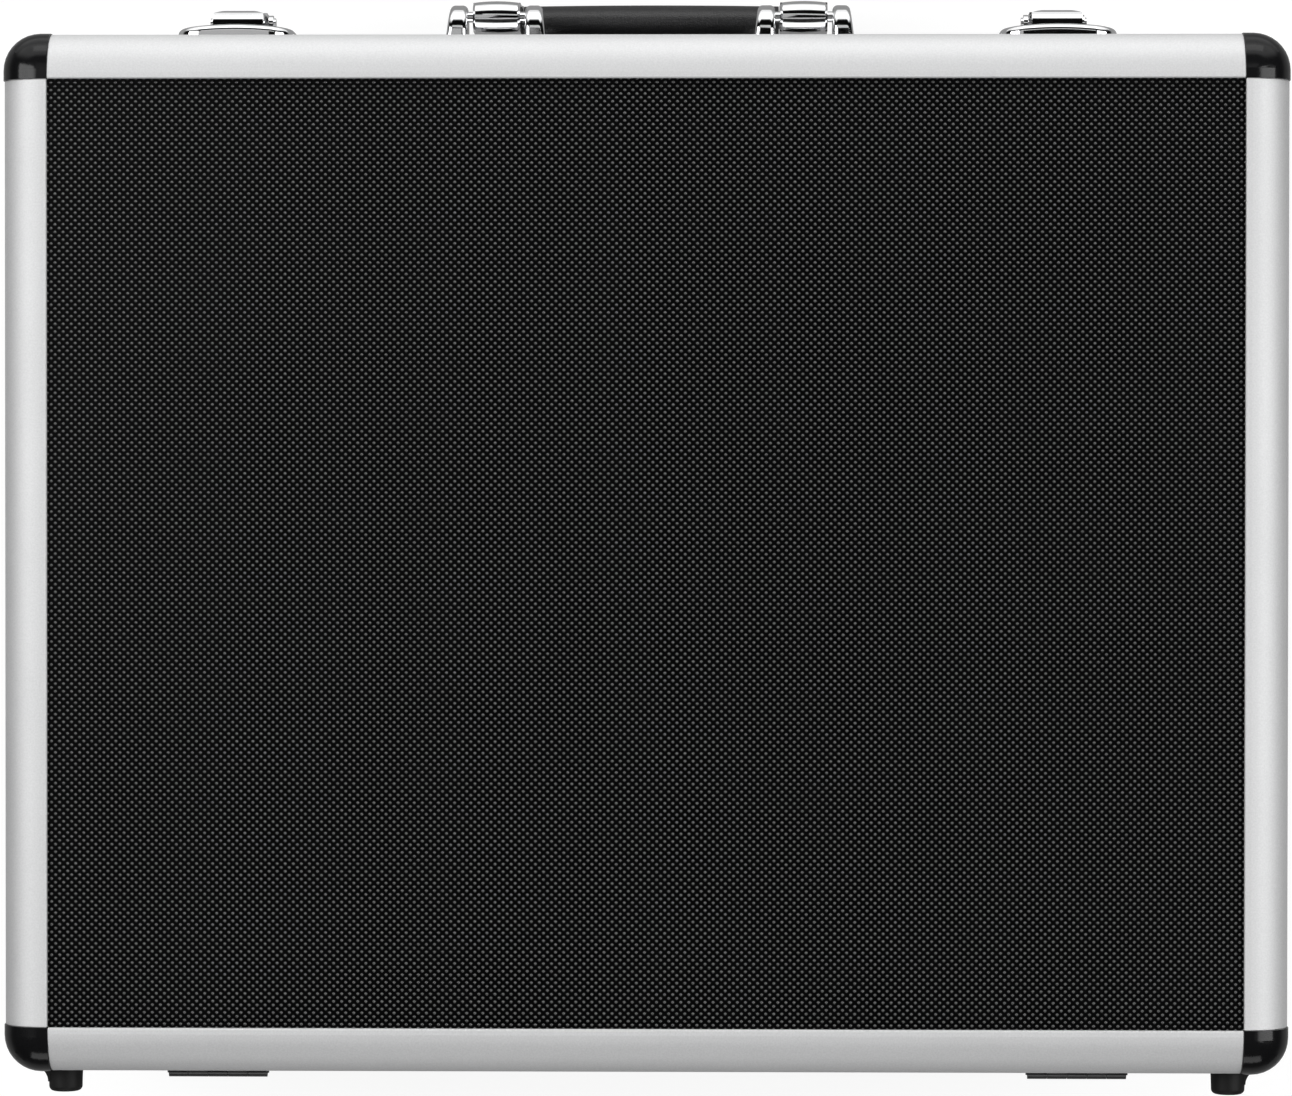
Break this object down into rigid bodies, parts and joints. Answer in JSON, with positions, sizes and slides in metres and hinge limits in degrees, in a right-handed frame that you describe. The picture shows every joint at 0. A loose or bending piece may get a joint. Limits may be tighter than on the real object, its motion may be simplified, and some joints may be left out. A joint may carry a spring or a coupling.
{
  "type": "microphone case",
  "caption": "Hard carrying case with aluminium edges, ball corners, a hinged lid, draw latches, a folding handle and a pocketed foam insert for a studio microphone set.",
  "frame": {"origin": "centre of the whole object's bounding box in X and Y, on the plane the case lies on", "axes": "+X along the width, +Y out of the handle side, +Z from the underside up to the lid; the case lies on its back, closed, with the handle hanging"},
  "size_m": [0.4556, 0.3986, 0.162],
  "materials": {
    "board_skin": "satin",
    "rail_aluminium": "satin",
    "corner_plastic": "gloss",
    "foam": "matte",
    "foot_rubber": "matte",
    "hinge_steel": "satin",
    "grip_plastic": "matte",
    "plain_steel": "satin",
    "bright_hardware": "polished"
  },
  "bodies": {
    "base": {"base_corners": "corner_plastic", "base_feet": "foot_rubber", "base_floor_panel": "board_skin", "base_foam_floor": "foam", "base_foam_insert": "foam", "base_foot_screws": "plain_steel", "base_posts": "rail_aluminium", "base_rail_handle_side": "rail_aluminium", "base_rail_hinge_side": "rail_aluminium", "base_rail_left": "rail_aluminium", "base_rail_right": "rail_aluminium", "base_rim": "rail_aluminium", "base_wall_handle_side": "board_skin", "base_wall_hinge_side": "board_skin", "base_wall_left": "board_skin", "base_wall_right": "board_skin", "handle_backing_plates": "plain_steel", "handle_bracket_left": "bright_hardware", "handle_bracket_nuts": "plain_steel", "handle_bracket_right": "bright_hardware", "handle_pins": "bright_hardware", "hinge_base_leaf_left": "hinge_steel", "hinge_base_leaf_right": "hinge_steel", "hinge_base_rivets": "hinge_steel", "hinge_pins": "hinge_steel", "latch_body_left": "bright_hardware", "latch_body_right": "bright_hardware", "latch_body_screws": "plain_steel", "latch_pivot_pins": "bright_hardware"},
    "lid": {"hinge_lid_leaf_left": "hinge_steel", "hinge_lid_leaf_right": "hinge_steel", "hinge_lid_rivets": "hinge_steel", "latch_keeper_left": "bright_hardware", "latch_keeper_right": "bright_hardware", "latch_keeper_washers": "plain_steel", "lid_corners": "corner_plastic", "lid_feet": "foot_rubber", "lid_foam": "foam", "lid_foot_screws": "plain_steel", "lid_posts": "rail_aluminium", "lid_rail_handle_side": "rail_aluminium", "lid_rail_hinge_side": "rail_aluminium", "lid_rail_left": "rail_aluminium", "lid_rail_right": "rail_aluminium", "lid_rim": "rail_aluminium", "lid_top_panel": "board_skin", "lid_wall_handle_side": "board_skin", "lid_wall_hinge_side": "board_skin", "lid_wall_left": "board_skin", "lid_wall_right": "board_skin"},
    "handle": {"handle_core": "plain_steel", "handle_end_left": "bright_hardware", "handle_end_right": "bright_hardware", "handle_grip": "grip_plastic"},
    "latch_lever_left": {"latch_lever_left": "bright_hardware", "latch_link_pin_left": "bright_hardware"},
    "latch_lever_right": {"latch_lever_right": "bright_hardware", "latch_link_pin_right": "bright_hardware"},
    "latch_hook_left": {"latch_hook_left": "bright_hardware"},
    "latch_hook_right": {"latch_hook_right": "bright_hardware"}
  },
  "joints": [
    {"name": "lid_hinge", "type": "hinge", "parent": "base", "child": "lid", "pos_m": [0, -0.19435, 0.112], "axis": [1, 0, 0], "range_deg": [0, 100]},
    {"name": "handle_pivot", "type": "hinge", "parent": "base", "child": "handle", "pos_m": [0, 0.19235, 0.055], "axis": [1, 0, 0], "range_deg": [-12, 192]},
    {"name": "lever_pivot_left", "type": "hinge", "parent": "base", "child": "latch_lever_left", "pos_m": [-0.1473, 0.18525, 0.102], "axis": [1, 0, 0], "range_deg": [0, 95]},
    {"name": "hook_pivot_left", "type": "hinge", "parent": "latch_lever_left", "child": "latch_hook_left", "pos_m": [-0.1473, 0.18335, 0.093], "axis": [1, 0, 0], "range_deg": [-115, 0]},
    {"name": "lever_pivot_right", "type": "hinge", "parent": "base", "child": "latch_lever_right", "pos_m": [0.1473, 0.18525, 0.102], "axis": [1, 0, 0], "range_deg": [0, 95]},
    {"name": "hook_pivot_right", "type": "hinge", "parent": "latch_lever_right", "child": "latch_hook_right", "pos_m": [0.1473, 0.18335, 0.093], "axis": [1, 0, 0], "range_deg": [-115, 0]}
  ],
  "couplings": [
    {"joint": "hook_pivot_left", "follows": "lever_pivot_left", "ratio": -1.2},
    {"joint": "hook_pivot_right", "follows": "lever_pivot_right", "ratio": -1.2}
  ]
}
